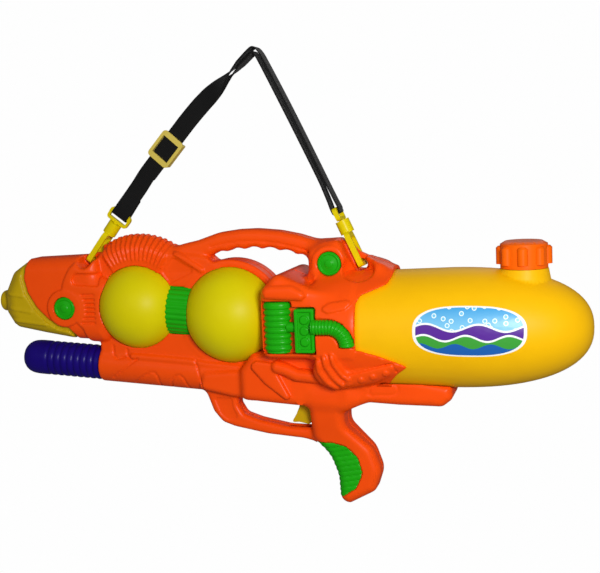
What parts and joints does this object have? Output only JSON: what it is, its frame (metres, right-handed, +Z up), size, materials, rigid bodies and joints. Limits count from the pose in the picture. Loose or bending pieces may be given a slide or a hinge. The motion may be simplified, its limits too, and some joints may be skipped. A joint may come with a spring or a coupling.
{
  "type": "toy water squirter",
  "caption": "Pump-action toy water squirter with a big rear tank, globes on its sides, carry handle, trigger grip and a webbing carry strap.",
  "frame": {"origin": "top of the carry strap, where the squirter hangs", "axes": "-X towards the muzzle, +X towards the tank, +Y to the right side, +Z up"},
  "size_m": [0.6595, 0.1392, 0.4906],
  "materials": {
    "orange_shell": "moulded, semi-gloss",
    "lemon": "moulded, gloss",
    "golden": "blow-moulded, semi-gloss",
    "green": "moulded, gloss",
    "cap_orange": "moulded, gloss",
    "violet": "moulded, semi-gloss",
    "white_plastic": "moulded",
    "grey_plastic": "moulded",
    "hose": "soft tube",
    "steel": "plain",
    "seal_rubber": "soft",
    "webbing": "woven",
    "slider_plastic": "moulded"
  },
  "bodies": {
    "strap": {"strap": "webbing", "strap_return": "webbing", "front_clip_eye": "lemon", "rear_clip_eye": "lemon"},
    "slider": {"strap_slider": "slider_plastic"},
    "front_hook": {"front_clip_hook": "lemon"},
    "rear_hook": {"rear_clip_hook": "lemon"},
    "gun": {"left_shell": "orange_shell", "right_shell": "orange_shell", "shell_screws": "steel", "muzzle": "lemon", "nozzle": "lemon", "front_globe_left": "lemon", "front_globe_right": "lemon", "rear_globe_left": "lemon", "rear_globe_right": "lemon", "collar_left": "green", "collar_right": "green", "front_button_left": "green", "front_button_right": "green", "rear_button_left": "green", "rear_button_right": "green", "engine_trim_left": "green", "engine_trim_right": "green", "grip_insert_left": "green", "grip_insert_right": "green", "tank": "golden", "pump_cylinder": "white_plastic", "rod_guide": "grey_plastic", "pump_head": "white_plastic", "valve_balls": "steel", "intake_hose": "hose", "delivery_hose": "hose", "nozzle_tube": "hose", "trigger_pin": "steel", "valve_body": "white_plastic", "valve_spring": "steel"},
    "pump": {"pump_handle": "violet", "pump_rod": "white_plastic", "piston": "grey_plastic", "piston_ring": "seal_rubber"},
    "trigger": {"trigger": "lemon"},
    "valve": {"valve_rod": "grey_plastic"},
    "cap_seal": {"cap_seal": "seal_rubber"},
    "filler_cap": {"filler_cap": "cap_orange"}
  },
  "joints": [
    {"name": "slider_slide", "type": "slide", "parent": "strap", "child": "slider", "axis": [0.6691, 0, 0.7431], "range_m": [-0.02, 0.02]},
    {"name": "front_hook_swivel", "type": "hinge", "parent": "strap", "child": "front_hook", "pos_m": [-0.201, 0, -0.222], "axis": [0.6157, 0, 0.788], "range_deg": [-10, 10]},
    {"name": "rear_hook_swivel", "type": "hinge", "parent": "strap", "child": "rear_hook", "pos_m": [0.1085, 0, -0.232], "axis": [-0.4067, 0, 0.9135], "range_deg": [-10, 10]},
    {"name": "gun_swing", "type": "hinge", "parent": "strap", "child": "gun", "pos_m": [-0.201, 0, -0.222], "axis": [0.9995, 0, -0.0323], "range_deg": [-8, 8]},
    {"name": "pump_slide", "type": "slide", "parent": "gun", "child": "pump", "axis": [-0.9971, 0, 0.0767], "range_m": [0, 0.08]},
    {"name": "trigger_pull", "type": "hinge", "parent": "gun", "child": "trigger", "pos_m": [0.042, 0, -0.374], "axis": [0, -1, 0], "range_deg": [0, 12], "stiffness_Nm_per_rad": 0.2, "springref_deg": -8.59},
    {"name": "valve_slide", "type": "slide", "parent": "gun", "child": "valve", "axis": [-1, 0, 0], "range_m": [0, 0.0045], "deforming": ["valve_spring"]},
    {"name": "cap_lift", "type": "slide", "parent": "gun", "child": "cap_seal", "axis": [0, 0, 1], "range_m": [0, 0.0225]},
    {"name": "cap_turn", "type": "hinge", "parent": "cap_seal", "child": "filler_cap", "pos_m": [0.276, 0, -0.23], "axis": [0, 0, 1], "range_deg": [0, 1622]}
  ],
  "couplings": [
    {"joint": "valve_slide", "follows": "trigger_pull", "m_per_rad": 0.02},
    {"joint": "cap_turn", "follows": "cap_lift", "rad_per_m": 1256.6}
  ]
}
